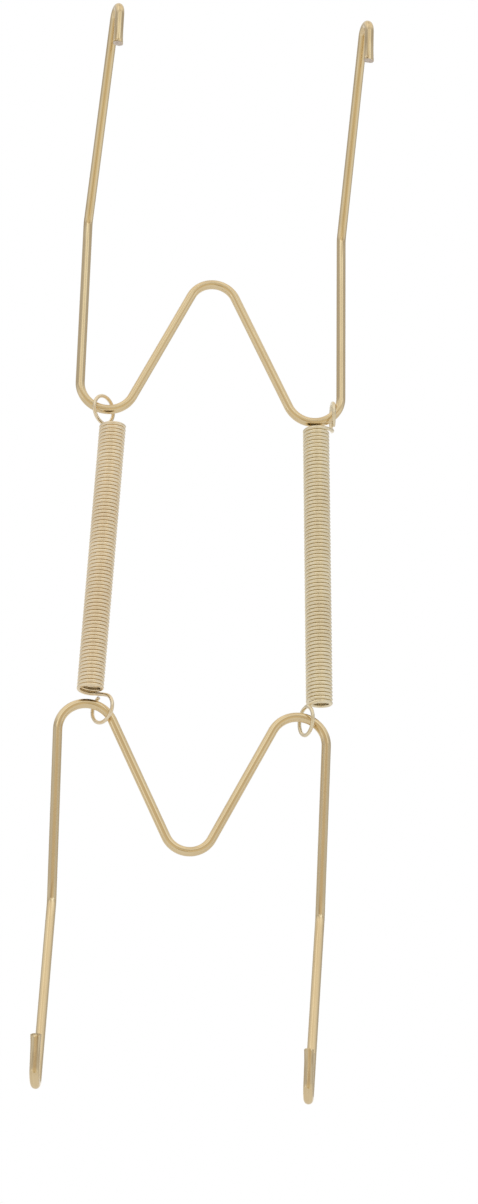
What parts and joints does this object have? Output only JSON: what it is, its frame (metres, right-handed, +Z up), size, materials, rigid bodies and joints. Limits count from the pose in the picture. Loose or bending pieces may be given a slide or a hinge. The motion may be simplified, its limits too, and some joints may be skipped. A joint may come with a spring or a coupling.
{
  "type": "wire plate hanger",
  "caption": "Gold-plated wire plate hanger: bent wires with plate hooks, joined by close-wound extension springs, hung from a nail by the peak of the upper wire.",
  "frame": {"origin": "seat of the nail, on the inside of the upper wire's peak, as the hanger hangs empty", "axes": "+Z up along the hanger, +X to the right seen from the front, the hooks reach forward towards -Y and the wall is on the +Y side"},
  "size_m": [0.05, 0.0197, 0.1841],
  "materials": {
    "plated_wire": "polished",
    "plated_spring": "satin"
  },
  "bodies": {
    "upper": {"upper_wire": "plated_wire"},
    "spring_top": {"left_spring": "plated_spring"},
    "spring_bottom": {"right_spring": "plated_spring"},
    "lower": {"lower_wire": "plated_wire"}
  },
  "joints": [
    {"name": "upper_fold", "type": "hinge", "parent": "upper", "child": "spring_top", "pos_m": [-0.01727, 0, -0.02268], "axis": [0.9995, 0, 0.0325], "range_deg": [-35, 90]},
    {"name": "stretch", "type": "slide", "parent": "spring_top", "child": "spring_bottom", "axis": [0, 0, -1], "range_m": [0, 0.045], "stiffness_N_per_m": 570, "springref_m": -0.0055, "deforming": ["left_spring", "right_spring"]},
    {"name": "lower_fold", "type": "hinge", "parent": "spring_bottom", "child": "lower", "pos_m": [-0.01588, 0, -0.07404], "axis": [1, 0, 0.0063], "range_deg": [-10, 90]}
  ]
}
